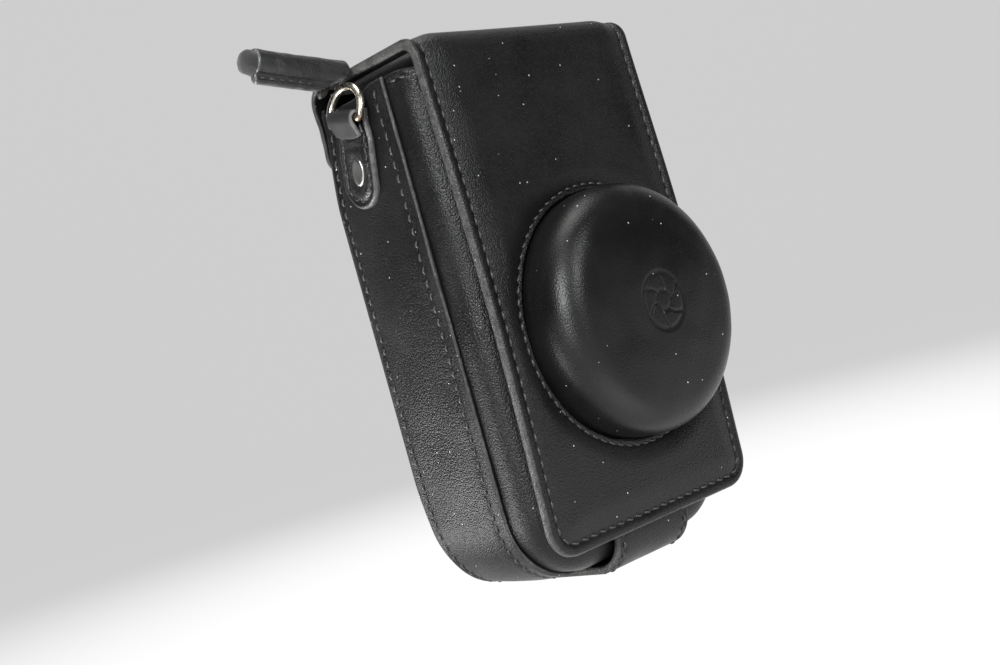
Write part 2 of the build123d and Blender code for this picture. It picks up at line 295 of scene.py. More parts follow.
def loft(name, sections, material, body=None, wear=None):
    """A closed skin through equal closed sections, capped at both ends."""
    sections = np.asarray(sections)
    rows, columns = sections.shape[:2]
    faces = grid(rows, columns)
    faces.append(tuple(range(columns)))
    faces.append(tuple((rows - 1) * columns + c for c in range(columns)))
    return make(name, sections.reshape(-1, 3), faces, material, body, wear)


def stitch_row(name, path, place, rise, material, body, pitch=PITCH, fraction=0.72, radius=THREAD_R,
               closed=False):
    """Stitches along a flat path: short waxed threads that dip into the leather."""
    path = resample(path, 0.25, closed)
    if closed:
        path = np.vstack([path, path[:1]])
    lengths = np.r_[0, np.cumsum(np.linalg.norm(np.diff(path, axis=0), axis=1))]
    count = max(1, int(lengths[-1] / pitch))
    pitch = lengths[-1] / count
    steps, sides = 6, 6
    bow = np.array([-0.3, 0.06, 0.2, 0.2, 0.06, -0.3])
    girth = np.array([0.55, 0.95, 1.0, 1.0, 0.95, 0.55]) * radius
    verts, faces = [], []
    rng = np.random.default_rng(len(path))
    for k in range(count):
        first = (k + 0.5 * (1 - fraction)) * pitch
        at = np.linspace(first, first + fraction * pitch, steps)
        u, v = (np.interp(at, lengths, path[:, j]) for j in (0, 1))
        centre = place(u, v, rise(u, v) + bow)
        up = place(u, v, rise(u, v) + bow + 1) - centre
        along = np.gradient(centre, axis=0)
        along /= np.linalg.norm(along, axis=1)[:, None]
        across = np.cross(along, up)
        across /= np.linalg.norm(across, axis=1)[:, None]
        slant = (0.17 + rng.normal() * 0.05) * np.linspace(-1, 1, steps)[:, None]
        centre = centre + across * slant
        base = len(verts)
        for j in range(steps):
            for s in range(sides):
                angle = 2 * pi * s / sides
                offset = across[j] * cos(angle) + up[j] * sin(angle)
                verts.append(centre[j] + girth[j] * offset)
        faces += grid(steps, sides, base)
        faces.append(tuple(base + s for s in range(sides)))
        faces.append(tuple(base + (steps - 1) * sides + s for s in range(sides)))
    return make(name, verts, faces, material, body)


# ---- Materials ----------------------------------------------------------------
def nodes_of(name):
    material = bpy.data.materials.new(name)
    material.use_nodes = True
    tree = material.node_tree
    return material, tree, tree.nodes["Principled BSDF"]


def wire(tree, kind, inputs=None, **settings):
    """A new node with its settings, and its inputs set or linked."""
    node = tree.nodes.new(kind)
    for key, value in settings.items():
        setattr(node, key, value)
    for key, value in (inputs or {}).items():
        if isinstance(value, bpy.types.NodeSocket):
            tree.links.new(value, node.inputs[key])
        else:
            node.inputs[key].default_value = value
    return node


def coordinates(tree, rest=True):
    """Where the texture sits: on the piece's shape at rest, in metres."""
    if rest:
        return wire(tree, "ShaderNodeAttribute", attribute_name="rest").outputs["Vector"]
    return wire(tree, "ShaderNodeTexCoord").outputs["Object"]


def grey(value, tint=(1, 1, 1)):
    return (value * tint[0], value * tint[1], value * tint[2], 1)


def noise(tree, where, scale, detail, **inputs):
    """Noise with its scale in waves per metre."""
    inputs = {"Vector": where, "Scale": scale, "Detail": detail, **inputs}
    return wire(tree, "ShaderNodeTexNoise", inputs).outputs["Fac"]


def maths(tree, kind, a, b=0.0):
    return wire(tree, "ShaderNodeMath", {0: a, 1: b}, operation=kind).outputs[0]


def ramp(tree, value, low, high, first=0.0, last=1.0, **settings):
    """A value stretched so that low becomes first and high becomes last."""
    inputs = {"Value": value, "From Min": low, "From Max": high, "To Min": first, "To Max": last}
    return wire(tree, "ShaderNodeMapRange", inputs, **settings).outputs["Result"]


def mix_colour(tree, factor, a, b):
    return wire(tree, "ShaderNodeMix", {0: factor, 6: a, 7: b}, data_type="RGBA").outputs[2]


def dress(tree, shader, colour, rough, *bumps):
    """Links the colour, roughness and bumps: (height, strength, depth in mm, inverted)."""
    tree.links.new(colour, shader.inputs["Base Color"])
    if isinstance(rough, bpy.types.NodeSocket):
        tree.links.new(rough, shader.inputs["Roughness"])
    else:
        shader.inputs["Roughness"].default_value = rough
    below = {}
    for height, strength, depth, *inverted in bumps:
        inputs = {"Height": height, "Strength": strength, "Distance": depth * MM, **below}
        bump = wire(tree, "ShaderNodeBump", inputs, invert=bool(inverted))
        below = {"Normal": bump.outputs["Normal"]}
    tree.links.new(below["Normal"], shader.inputs["Normal"])


def leather(name, base=0.006, rough=0.36, grain=1.1, grain_mm=0.36, worn=0.1, dust=1.0, rest=True,
            gloss=0.3):
    """Fine-grained black leather: pores, broad sheen changes, worn edges and dust."""
    material, tree, shader = nodes_of(name)
    where = coordinates(tree, rest)
    pores = wire(tree, "ShaderNodeTexVoronoi",
                 {"Vector": where, "Scale": 1 / (grain_mm * MM), "Smoothness": 0.5},
                 feature="SMOOTH_F1").outputs["Distance"]
    fine = noise(tree, where, 2300, 3)
    broad = noise(tree, where, 70, 4)
    crease = noise(tree, where, 420, 5, Roughness=0.65, Distortion=1.2)
    colour = mix_colour(tree, ramp(tree, broad, 0.35, 0.7), grey(base * 0.8),
                        grey(base * 1.25, (1, 1.0, 1.08)))
    specks = wire(tree, "ShaderNodeTexVoronoi", {"Vector": where, "Scale": 360})
    dot = ramp(tree, specks.outputs["Distance"], 0.075, 0.045)
    chance = wire(tree, "ShaderNodeSeparateColor", {"Color": specks.outputs["Color"]}).outputs[0]
    dusty = maths(tree, "MULTIPLY", dot, ramp(tree, chance, 0.5, 0.52))
    colour = mix_colour(tree, maths(tree, "MULTIPLY", dusty, dust), colour, grey(0.5))
    if rest:
        wear = wire(tree, "ShaderNodeAttribute", attribute_name="wear").outputs["Fac"]
        patchy = ramp(tree, maths(tree, "MULTIPLY", wear, crease), 0.2, 0.75)
        colour = mix_colour(tree, patchy, colour, grey(worn, (1, 0.98, 0.95)))
    shader.inputs["Specular IOR Level"].default_value = gloss
    dress(tree, shader, colour, ramp(tree, broad, 0.3, 0.7, rough - 0.06, rough + 0.08),
          (crease, 0.07 * grain, 0.25), (pores, 0.6 * grain, 0.16, True), (fine, 0.6 * grain, 0.1))
    return material


def lining(name, base=0.012, rest=True):
    """Dull dark suede with a short nap."""
    material, tree, shader = nodes_of(name)
    where = coordinates(tree, rest)
    cloud = ramp(tree, noise(tree, where, 90, 3), 0.3, 0.7)
    colour = mix_colour(tree, cloud, grey(base * 0.7), grey(base * 1.6, (1, 0.97, 0.93)))
    shader.inputs["Sheen Weight"].default_value = 0.25
    dress(tree, shader, colour, 0.85, (noise(tree, where, 1500, 6, Roughness=0.7), 0.7, 0.15))
    return material


def thread(name, base=0.02):
    """Waxed black thread with its twist."""
    material, tree, shader = nodes_of(name)
    twist = noise(tree, coordinates(tree), 3500, 2)
    dress(tree, shader, mix_colour(tree, twist, grey(base * 0.5), grey(base * 2.2)), 0.4,
          (twist, 0.5, 0.1))
    return material


def metal(name, colour, rough, tarnish, rest=False, foot=None):
    """Nickel plate with fine scratches and brown tarnish, most of it at the foot."""
    material, tree, shader = nodes_of(name)
    where = coordinates(tree, rest)
    stain = ramp(tree, noise(tree, where, 260, 5), 0.56, 0.75)
    if foot is not None:
        height = wire(tree, "ShaderNodeSeparateXYZ", {"Vector": where}).outputs["Z"]
        near = ramp(tree, height, (foot + 2.2) * MM, (foot - 0.6) * MM)
        stain = maths(tree, "MAXIMUM", stain, near)
    stain = maths(tree, "MULTIPLY", stain, tarnish)
    scratch = noise(tree, where, 1800, 4)
    shader.inputs["Metallic"].default_value = 1.0
    dress(tree, shader, mix_colour(tree, stain, (*colour, 1), (0.2, 0.09, 0.03, 1)),
          ramp(tree, scratch, 0.0, 1.0, rough - 0.08, rough + 0.12), (scratch, 0.12, 0.05))
    return material


def board(name, base):
    """Grey-brown fibreboard, hidden between the leathers."""
    material, tree, shader = nodes_of(name)
    fibre = noise(tree, coordinates(tree, False), 900, 6)
    dress(tree, shader, mix_colour(tree, fibre, grey(base * 0.7, (1, 0.9, 0.75)),
                                   grey(base * 1.2, (1, 0.92, 0.8))), 0.8, (fibre, 0.3, 0.1))
    return material


NAPPA = leather("nappa")
GLOSSY = leather("pull_leather", base=0.014, rough=0.34, grain=0.9, worn=0.12, dust=0.3, gloss=0.7)
DOME_LEATHER = leather("dome_leather", rough=0.33, grain=0.45)
SUEDE = lining("suede")
SUEDE_CAD = lining("suede_inner", rest=False)
THREAD = thread("waxed_thread")
CORE = lining("pull_core", base=0.015)
FIBRE = board("fibreboard", 0.2)
FORMER = board("dome_former", 0.05)
TAB_LEATHER = leather("tab_leather", rough=0.34, worn=0.14, dust=0.8, gloss=0.6)
LOOP_LEATHER = leather("loop_leather", base=0.018, rough=0.44, grain=0.4, worn=0.2, dust=0.3)
RING_METAL = metal("ring_nickel", (0.74, 0.69, 0.6), 0.24, 0.9, foot=114.6)
RIVET_METAL = metal("rivet_nickel", (0.62, 0.62, 0.6), 0.32, 0.2, rest=True)
MAGNET_METAL = metal("magnet_nickel", (0.6, 0.6, 0.62), 0.3, 0.1)


# ---- Flap ---------------------------------------------------------------------
def flap_place(u, v, w):
    """Up the front, over the fold and back along the top."""
    angle = np.clip((v - flap_run) / FOLD_R, 0, pi / 2)
    past = np.clip(v - flap_run - fold_run, 0, None)
    y = flap_low[1] + FOLD_R - (FOLD_R + w) * np.cos(angle) + past
    z = flap_low[2] + np.minimum(v, flap_run) + (FOLD_R + w) * np.sin(angle)
    y = y - BOW * np.sin(pi * np.clip(v / flap_run, 0, 1)) ** 1.3
    return stack([u, y, z])


def flap_outline(inset, end):
    """U-shaped line at a distance inside the flap's side and bottom edges."""
    half, radius = half_flap - inset, FLAP_CORNER_R - inset
    low = inset
    corner = low + radius
    step = 0.85
    side = int((end - FLAP_CORNER_R) / step)
    across = int(2 * (half_flap - FLAP_CORNER_R) / step)
    radius = max(radius, 0.05)
    turn = int(FLAP_CORNER_R * pi / 2 / step)
    return np.vstack([
        line((-half, end), (-half, corner), side),
        arc((-half + radius, low + radius), radius, 180, 270, turn)[1:],
        line((-half + radius, low), (half - radius, low), across)[1:],
        arc((half - radius, low + radius), radius, 270, 360, turn)[1:],
        line((half, corner), (half, end), side)[1:],
    ])


def rounded_edge(u, v, half, low, radius):
    """Distance inside a strip that is open at its far end and round at the near corners."""
    return radius - apart(np.abs(u) - (half - radius), (low + radius) - v)


def flap_edge_only(u, v):
    return rounded_edge(u, v, half_flap, 0.0, FLAP_CORNER_R)


def hole_distance(u, v):
    """Distance outward from the dome hole's edge, in the flat drawing of the flap."""
    return np.hypot(u - dome_x, v - (dome_z - flap_low[2])) - HOLE_R


def flap_edge(u, v):
    return np.minimum(flap_edge_only(u, v), hole_distance(u, v))


def flap_height(u, v):
    """Padded middle, grooves along both rows of stitches, and slight waves."""
    d, hole = flap_edge_only(u, v), hole_distance(u, v)
    rise = PAD_RISE * smooth((d - FLAP_STITCH - 0.1) / 5.5)
    groove = bell((d - FLAP_STITCH) / 0.55)
    pucker = 0.05 * np.cos(2 * pi * np.where(v > 3 * FLAP_CORNER_R, v, u) / PITCH)
    swell = 0.12 * bell((d - 1.3) / 0.9) + pucker * bell((d - FLAP_STITCH) / 1.4)
    clear = smooth((hole - 1.6) / 1.2)
    rise = rise * smooth((hole - RING_STITCH - 0.3) / 4.0)
    turn = np.arctan2(v - dome_z + flap_low[2], u - dome_x) * (HOLE_R + RING_STITCH)
    ring = -0.4 * bell((hole - RING_STITCH) / 0.5)
    ring += 0.05 * np.cos(2 * pi * turn / PITCH) * bell((hole - RING_STITCH) / 1.2)
    wave = waves(u, v, 26, 3) * 0.1 * smooth((flap_edge(u, v) - 3) / 6)
    return rise + (swell - 0.45 * groove) * clear + ring + wave


def flap_columns():
    """Where the rings end along the join with the hinge piece."""
    insets = np.array([0, 0.12, 0.35, 0.8, 1.5, 2.1, 2.45, 2.7, 2.95, 3.35, 4.2, 5.4, 7.0])
    left = -half_flap + insets
    middle = np.arange(left[-1] + 1.6, half_flap - insets[-1] - 0.8, 1.6)
    return insets, np.r_[left, middle, -left[::-1]]


def make_flap():
    """Padded outer leather of the flap with its stitching."""
    end = flap_run + fold_run + JOIN_Y - (flap_low[1] + FOLD_R)
    insets, columns = flap_columns()
    outline = flap_outline(0, end)
    top = stack([columns[::-1], np.full(len(columns), end)])[1:-1]
    boundary = np.vstack([outline, top])
    centre = (dome_x, dome_z - flap_low[2])
    hole = arc(centre, HOLE_R, 0, 360, 232)[:-1]
    rings = [flap_outline(inset, end)[1:-1] for inset in insets[1:]]
    rings = [r[hole_distance(r[:, 0], r[:, 1]) > 0.1] for r in rings]
    for reach in (0.12, 0.35, 0.75, 1.0, 1.2, 1.4, 1.75, 2.3, 3.1, 4.2, 5.6):
        ring = arc(centre, HOLE_R + reach, 0, 360, 232)[:-1]
        rings.append(ring[flap_edge_only(ring[:, 0], ring[:, 1]) > 0.1])
    piece = panel("flap_leather", boundary, [hole], rings, 1.5, 1.0, flap_edge, flap_height,
                  flap_place, FLAP_THICK, 0.75, NAPPA, "flap")
    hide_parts("flap_cover", "flap_hem", "flap_upper_board", "flap_lower_board",
                "flap_magnet")
    make_border_stitches(end)
    make_flap_lining()
    ring = arc(centre, HOLE_R + RING_STITCH, 0, 360, 400)[:-1]
    stitch_row("dome_ring_stitches", ring, flap_place, flap_height, THREAD, "flap", closed=True,
               pitch=2.7)


def make_flap_lining():
    """Suede inside the flap, open behind the dome and cut away for the tongue."""
    end = flap_run + fold_run + 15.1 - (flap_low[1] + FOLD_R)
    inset, notch_half, notch_top = 2.5, tongue_high[0] + 1.5, tongue_high[2] + 2 - flap_low[2]
    outline = flap_outline(inset, end)
    low = (np.abs(outline[:, 0]) < notch_half) & (outline[:, 1] < inset + 1)
    first, last = np.flatnonzero(low)[[0, -1]]
    notch = np.vstack([
        line((-notch_half, inset), (-notch_half, notch_top), 16),
        line((-notch_half, notch_top), (notch_half, notch_top), 24)[1:],
        line((notch_half, notch_top), (notch_half, inset), 16)[1:],
    ])
    top = line((half_flap - inset, end), (-half_flap + inset, end), 60)[1:-1]
    boundary = np.vstack([outline[:first], notch, outline[last + 1:], top])
    reach = DOME_R - 2.3
    hole = arc((dome_x, dome_z - flap_low[2]), reach, 0, 360, 150)[:-1]

    def edge(u, v):
        notch_gap = apart(np.abs(u) - notch_half, v - notch_top)
        sides = rounded_edge(u, v - inset, half_flap - inset, 0.0, FLAP_CORNER_R - inset)
        bore = np.hypot(u - dome_x, v - dome_z + flap_low[2]) - reach
        return np.minimum(np.minimum(sides, end - v), np.minimum(notch_gap, bore))

    def place(u, v, w):
        return flap_place(u, v, -FLAP_THICK - 0.05 - w)

    def height(u, v):
        return 0.9 + 0.08 * waves(u, v, 18, 4) * smooth(edge(u, v) / 3)

    piece = panel("flap_suede", boundary, [hole], [], 1.8, 0.9, edge, height, place, 0.0, 0.3,
                  SUEDE, "flap")
    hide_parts("flap_lining")


def make_border_stitches(end):
    """The border's row runs all round and breaks where the dome reaches the edge."""
    path = resample(flap_outline(FLAP_STITCH, end), 0.5)
    free = hole_distance(path[:, 0], path[:, 1]) > RING_STITCH + 1.0
    breaks = np.flatnonzero(np.diff(free.astype(int)))
    runs = np.split(np.arange(len(path)), breaks + 1)
    for number, run in enumerate(r for r in runs if free[r[0]] and len(r) > 4):
        stitch_row(f"flap_stitches_{number}", path[run], flap_place, flap_height, THREAD, "flap")


# ---- Hinge leather ------------------------------------------------------------
HINGE_LOW_Z = 106.0


def hinge_place(u, v, w):
    """Up the back, round the hinge and forward along the top to the flap's leather."""
    bend = HINGE_BEND_R
    corner_z = flap_high[2] - bend
    rise = corner_z - HINGE_LOW_Z
    angle = np.clip((v - rise) / bend, 0, pi / 2)
    past = np.clip(v - rise - bend * pi / 2, 0, None)
    y = flap_high[1] - bend + (bend + w) * np.cos(angle) - past
    z = HINGE_LOW_Z + np.minimum(v, rise) + (bend + w) * np.sin(angle)
    bulge = bulged(stack([u, y, z]))[:, 1] - y
    return stack([u, y + bulge * smooth((122 - z) / 6), z])


def hinge_edge(u, v):
    return rounded_edge(u, v, half_flap, 0.0, 5.0)


def make_hinge():
    """Leather bent round the hinge, from the back of the pouch to the flap."""
    bend = HINGE_BEND_R
    end = (flap_high[2] - bend - HINGE_LOW_Z) + bend * pi / 2 + (flap_high[1] - bend - JOIN_Y)
    insets, columns = flap_columns()

    def height(u, v):
        d = hinge_edge(u, v)
        near = smooth((v - end + 9) / 9)
        rise = PAD_RISE * smooth((d - FLAP_STITCH - 0.1) / 5.5) * near
        groove = bell((d - FLAP_STITCH) / 0.55)
        pucker = 0.05 * np.cos(2 * pi * (end - v) / PITCH) * bell((d - FLAP_STITCH) / 1.4)
        crease = 0.08 * waves(u * 0.15, v, 5, 8) * smooth((end - v) / 6)
        wave = ripple(stack([u, flap_run + fold_run + JOIN_Y - flap_low[1] - FOLD_R
                                       + end - v]), 26, 3) * 0.1 * smooth((d - 3) / 6) * near
        return rise - 0.3 * groove + 0.12 * bell((d - 1.3) / 0.9) + pucker + crease + wave

    def outline(inset):
        return u_shape(half_flap - inset, inset, max(5.0 - inset, 0.05), end, 44, 9, 70)

    top = stack([columns[::-1], np.full(len(columns), end)])[1:-1]
    boundary = np.vstack([outline(0), top])
    rings = [outline(inset)[1:-1] for inset in insets[1:]]
    piece = panel("hinge_leather", boundary, [], rings, 1.3, 7.5, hinge_edge, height, hinge_place,
                  1.2, 0.5, NAPPA)
    row = resample(outline(FLAP_STITCH), 0.5)
    stitches = stitch_row("hinge_stitches", row, hinge_place, height, THREAD, None)
    for made in (piece, stitches):
        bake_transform(made)


# ---- Lens dome ----------------------------------------------------------------
def dome_profile(depth, base, count):
    """(radius, height above the flap) from the base up to the crown's middle."""
    centre_r = DOME_R - SHOULDER_R
    rise = np.sqrt((CROWN_R - SHOULDER_R) ** 2 - centre_r**2)
    top = flap_low[1] - dome_low[1]
    shoulder_h = top - CROWN_R + rise
    meet = np.degrees(np.arcsin(centre_r / (CROWN_R - SHOULDER_R)))
    wall = stack([DOME_R - depth - 0.5 * bell((np.linspace(base, shoulder_h, 7) - 0.2) / 1.3),
        np.linspace(base, shoulder_h, 7),
    ])
    shoulder = arc((centre_r, shoulder_h), SHOULDER_R - depth, 0, 90 - meet, count)
    crown_angles = np.radians(np.linspace(meet, 0, 3 * count))
    crown = stack([(CROWN_R - depth) * np.sin(crown_angles),
        top - CROWN_R + (CROWN_R - depth) * np.cos(crown_angles),
    ])
    return np.vstack([wall[:-1], shoulder[:-1], crown])


def emblem(x, z):
    """Shallow pressed mark on the crown: a plain ring of six iris blades."""
    radius, turn = np.hypot(x, z), np.arctan2(z, x)
    rings = bell((radius - 6.4) / 0.28) + bell((radius - 2.3) / 0.25)
    blades = np.zeros_like(radius)
    for k in range(6):
        lean = turn - k * pi / 3 - 0.55 * (radius - 2.3) / 4.1
        off = radius * np.sin((lean + pi) % (2 * pi) - pi)
        ahead = np.cos(lean) > 0
        blades = np.maximum(blades, bell(off / 0.25) * ahead)
    blades *= smooth((radius - 2.2) / 0.3) * smooth((6.5 - radius) / 0.3)
    return -0.4 * np.maximum(rings, blades)


def make_dome():
    """Moulded leather cap over the lens."""
    outer = dome_profile(0, -1.4, 14)
    inner = dome_profile(LEATHER, -1.4, 8)
    segments = 220
    angles = np.linspace(0, 2 * pi, segments, endpoint=False)
    verts, faces, wear = [], [], []
    for side, profile in enumerate((outer, inner)):
        radius, height = profile[:-1, 0], profile[:-1, 1]
        x = radius[:, None] * np.cos(angles)
        z = radius[:, None] * np.sin(angles)
        h = np.repeat(height[:, None], segments, axis=1)
        if side == 0:
            flat = stack([x.ravel(), h.ravel(), z.ravel()])
            uneven = 0.13 * ripple(flat, 24, 11) + 0.05 * ripple(flat, 9, 12)
            folds = 0.05 * bell((flat[:, 0] + 4 - 0.25 * flat[:, 2]) / 0.5) * (flat[:, 2] > 12)
            lift = (uneven - folds).reshape(x.shape) * smooth(h / 4)
            h = h + lift + np.where(radius[:, None] < 9, emblem(x, z), 0)
        verts.append(stack([dome_x + x.ravel(), flap_low[1] - h.ravel(), dome_z + z.ravel()]))
        tip = dome_profile(LEATHER * side, -1.4, 4)[-1]
        verts.append([[dome_x, flap_low[1] - tip[1], dome_z]])
        wear.append(np.zeros(len(radius) * segments + 1))
    starts = [0, len(verts[0]) + 1]
    for side, profile in enumerate((outer, inner)):
        rows = len(profile) - 1
        faces += grid(rows, segments, starts[side])
        last = starts[side] + (rows - 1) * segments
        faces += [(last + c, last + (c + 1) % segments, last + segments) for c in range(segments)]
    faces += [(c, (c + 1) % segments, starts[1] + (c + 1) % segments, starts[1] + c)
              for c in range(segments)]
    piece = make("dome_leather", np.vstack(verts), faces, DOME_LEATHER, "flap",
                 np.concatenate(wear))
    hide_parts("dome_cover")


# ---- Pouch --------------------------------------------------------------------
def pouch_frame(u, v):
    """Distance inside the pouch's outline, and the outward direction there."""
    corner_x, corner_z = half_pouch - BOTTOM_R, base_z + BOTTOM_R
    dx, dz = np.abs(u) - corner_x, corner_z - v
    reach = np.hypot(dx, dz)
    in_corner = (dx > 0) & (dz > 0)
    side = dx >= dz
    straight = np.where(side, half_pouch - np.abs(u), v - base_z)
    inset = np.where(in_corner, BOTTOM_R - reach, straight)
    safe = np.maximum(reach, 1e-9)
    nx = np.where(in_corner, dx / safe, np.where(side, 1.0, 0.0)) * np.sign(u + 1e-12)
    nz = -np.where(in_corner, dz / safe, np.where(side, 0.0, 1.0))
    return inset, nx, nz


def wrap_place(face_y, inward, edge_r, start):
    """A panel that is flat at face_y and turns round the pouch's sides and bottom.

    inward is +1 if the sides run towards +Y, start is the inset of the sides.
    """
    def place(u, v, w):
        inset, nx, nz = pouch_frame(u, v)
        flat_from = start + edge_r
        run = flat_from - inset
        angle = np.clip(run / edge_r, 0, pi / 2)
        past = np.clip(run - edge_r * pi / 2, 0, None)
        new_inset = np.where(run > 0, flat_from - (edge_r + w) * np.sin(angle), inset)
        y = np.where(run > 0, edge_r - (edge_r + w) * np.cos(angle) + past, -w)
        shift = inset - new_inset
        return bulged(stack([u + nx * shift, face_y + inward * y, v + nz * shift]))
    return place


def u_line(inset, top, step=0.9):
    """U-shaped line at an inset from the pouch's outline, from left rim to right rim."""
    side = int((top - base_z - BOTTOM_R) / step)
    across = int(2 * (half_pouch - BOTTOM_R) / step)
    return u_shape(half_pouch - inset, base_z + inset, BOTTOM_R - inset, top, side,
                   int(BOTTOM_R * pi / 2 / step), across)


def lens_distance(u, v):
    """Distance outside the U-shaped lens cut-out."""
    du, dv = np.abs(u - dome_x), dome_z - v
    return np.where(dv > 0, np.hypot(du, dv), du) - LENS_R


def cut_line(reach, top):
    """U-shaped line at a distance around the lens cut-out, from right to left."""
    radius = LENS_R + reach
    return np.vstack([
        line((dome_x + radius, top), (dome_x + radius, dome_z), 60),
        arc((dome_x, dome_z), radius, 360, 180, 90)[1:],
        line((dome_x - radius, dome_z), (dome_x - radius, top), 60)[1:],
    ])


def make_front():
    """Front of the pouch, turned round the sides, with the lens cut-out."""
    side_run = LAP_Y + 3.5 - (front_low[1] + FRONT_EDGE_R)
    outer = LEATHER + FRONT_EDGE_R * (1 - pi / 2) - side_run
    place = wrap_place(front_low[1], 1, FRONT_EDGE_R, LEATHER)

    def edge(u, v):
        return np.minimum(rim_z - v, lens_distance(u, v))

    def height(u, v):
        d = edge(u, v)
        hem = 0.25 * smooth((3.2 - d) / 1.0) - 0.22 * bell((d - 1.9) / 0.4)
        wave = 0.14 * waves(u, v * 0.5, 14, 21) * smooth(d / 5)
        pucker = 0.3 * waves(u, v * 0.25, 4.5, 22) * smooth((v - rim_z + 16) / 14)
        return hem + wave + pucker * smooth(d / 2) * smooth(-(lens_distance(u, v) - 30) / 8 + 1)

    outline = u_line(outer, rim_z)
    boundary = np.vstack([outline, line(outline[-1], (dome_x + LENS_R, rim_z), 14)[1:-1],
                          cut_line(0, rim_z),
                          line((dome_x - LENS_R, rim_z), outline[0], 24)[1:-1]])
    hem_rows = (0.12, 0.35, 0.8, 1.3, 1.6, 1.9, 2.2, 2.6, 3.2)
    rings = [cut_line(reach, rim_z - 0.1) for reach in hem_rows]
    rings += [line((-60, rim_z - drop), (60, rim_z - drop), 150) for drop in hem_rows]
    rings += [u_line(outer + run, rim_z - 0.3, 1.1)[1:-1]
              for run in np.arange(0.9, side_run + FRONT_EDGE_R * pi / 2 + 1, 0.9)]
    allowed = [r[(edge(r[:, 0], r[:, 1]) > 0.05) & (pouch_frame(r[:, 0], r[:, 1])[0] > outer + 0.2)]
               for r in rings]
    piece = panel("front_leather", boundary, [], allowed, 1.4, 0.6, edge, height, place, 1.1, 0.5,
                  NAPPA, "case_body")
    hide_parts("front_cover")
    hem = np.vstack([line((-46, rim_z - 1.9), (dome_x - LENS_R - 1.9, rim_z - 1.9), 30),
                     cut_line(1.9, rim_z - 1.9)[::-1][1:-1],
                     line((dome_x + LENS_R + 1.9, rim_z - 1.9), (46, rim_z - 1.9), 20)])
    hem = hem[pouch_frame(hem[:, 0], hem[:, 1])[0] > outer + side_run * 0.6]
    stitch_row("front_hem_stitches", hem, place, height, THREAD, "case_body")


LAP_Y = gusset_low[1]
GUSSET_BACK = 18.6
BACK_STITCH_Y, LAP_STITCH_Y = 16.7, -3.0


def gusset_place(points):
    """Side strip: u runs along the U-shaped outline, v is Y, w is outward."""
    lengths = np.r_[0, np.cumsum(np.linalg.norm(np.diff(points, axis=0), axis=1))]
    tangent = np.gradient(points, axis=0)
    tangent /= np.linalg.norm(tangent, axis=1)[:, None]
    normal = stack([tangent[:, 1], -tangent[:, 0]])

    def place(u, v, w):
        x, z = (np.interp(u, lengths, points[:, k]) for k in (0, 1))
        nx, nz = (np.interp(u, lengths, normal[:, k]) for k in (0, 1))
        return bulged(stack([x + nx * w, v, z + nz * w]))
    return place, lengths[-1]


def make_gusset():
    """Side strip with its lapped front edge, both seams and a soft bulge."""
    place, total = gusset_place(resample(u_line(0, rim_z), 0.4))

    def height(u, v):
        from_end = np.minimum(u, total - u)
        soft = smooth(from_end / 4)
        across = np.clip((v - LAP_STITCH_Y) / (BACK_STITCH_Y - LAP_STITCH_Y), 0, 1)
        middle = 0.35 * np.sin(pi * across)
        grooves = -0.28 * bell((v - LAP_STITCH_Y) / 0.45) - 0.28 * bell((v - BACK_STITCH_Y) / 0.45)
        pucker = 0.05 * np.cos(2 * pi * u / PITCH) * (
            bell((v - LAP_STITCH_Y) / 1.3) + bell((v - BACK_STITCH_Y) / 1.3))
        wave = 0.16 * waves(u * 0.6, v, 16, 31)
        folds = 0.22 * waves(u * 0.3, v, 5, 32) * smooth((22 - from_end) / 20)
        return (middle + wave + folds) * soft + grooves + pucker

    def edge(u, v):
        return np.minimum(np.minimum(u, total - u), np.minimum(v - LAP_Y, GUSSET_BACK - v))

    def row(v, step=0.9):
        return line((0, v), (total, v), int(total / step))

    boundary = np.vstack([row(LAP_Y), line((total, LAP_Y), (total, GUSSET_BACK), 30)[1:-1],
                          row(GUSSET_BACK)[::-1], line((0, GUSSET_BACK), (0, LAP_Y), 30)[1:-1]])
    rings = [row(v)[1:-1] for v in (
        LAP_Y + 0.1, LAP_Y + 0.3, LAP_Y + 0.6, LAP_Y + 1.1, LAP_Y + 2, LAP_STITCH_Y - 0.8,
        LAP_STITCH_Y - 0.35, LAP_STITCH_Y, LAP_STITCH_Y + 0.35, LAP_STITCH_Y + 0.8,
        BACK_STITCH_Y - 0.8, BACK_STITCH_Y - 0.35, BACK_STITCH_Y, BACK_STITCH_Y + 0.35,
        GUSSET_BACK - 1.1, GUSSET_BACK - 0.6, GUSSET_BACK - 0.3, GUSSET_BACK - 0.1)]
    for drop in (0.12, 0.35, 0.8, 1.4):
        for u in (drop, total - drop):
            rings.append(line((u, LAP_Y + 0.2), (u, GUSSET_BACK - 0.2), 34))
    piece = panel("gusset_leather", boundary, [], rings, 1.2, 0.5, edge, height, place, LEATHER,
                  0.5, NAPPA, "case_body")
    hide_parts("gusset_cover")
    for name, v in (("lap_stitches", LAP_STITCH_Y), ("back_seam_stitches", BACK_STITCH_Y)):
        stitch_row(name, line((1.5, v), (total - 1.5, v), 500), place, height, THREAD, "case_body")


